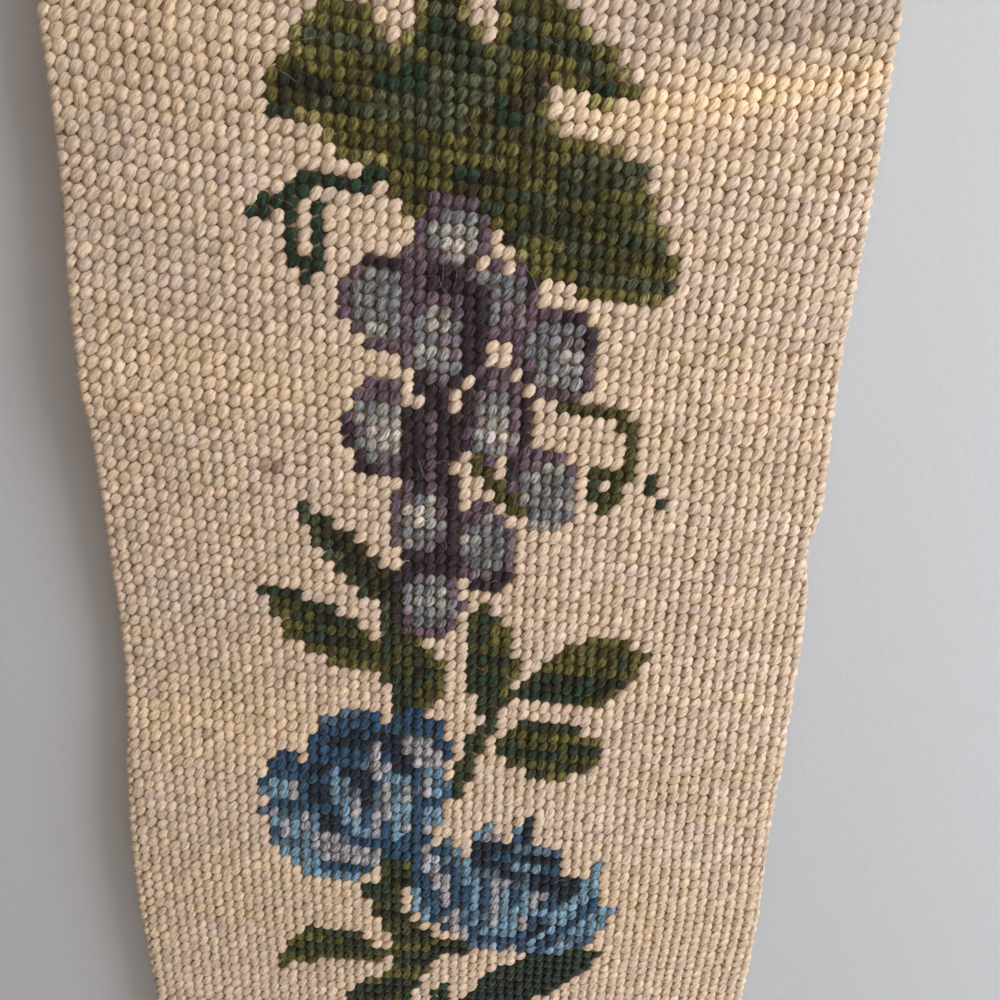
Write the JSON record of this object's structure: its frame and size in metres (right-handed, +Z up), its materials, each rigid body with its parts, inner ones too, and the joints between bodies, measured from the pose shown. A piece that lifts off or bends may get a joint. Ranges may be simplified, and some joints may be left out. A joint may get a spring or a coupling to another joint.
{
  "type": "needlepoint canvas panel",
  "caption": "Hanging panel of wool tent stitch on canvas mesh, cream with a vine, grapes and blue flowers, with turned edges and soft waves.",
  "frame": {"origin": "middle of the top edge, in the canvas's own plane", "axes": "+Z up the panel towards its top edge, -Y out of the worked face, +X to the right as seen from the front"},
  "size_m": [0.1635, 0.0096, 0.3],
  "materials": {
    "wool_ground": "matt wool yarn",
    "wool_green": "matt wool yarn",
    "wool_grape": "matt wool yarn",
    "wool_blue": "matt wool yarn",
    "canvas": "sized cotton mesh"
  },
  "bodies": {
    "root": {"panel": "wool_ground"}
  },
  "joints": []
}
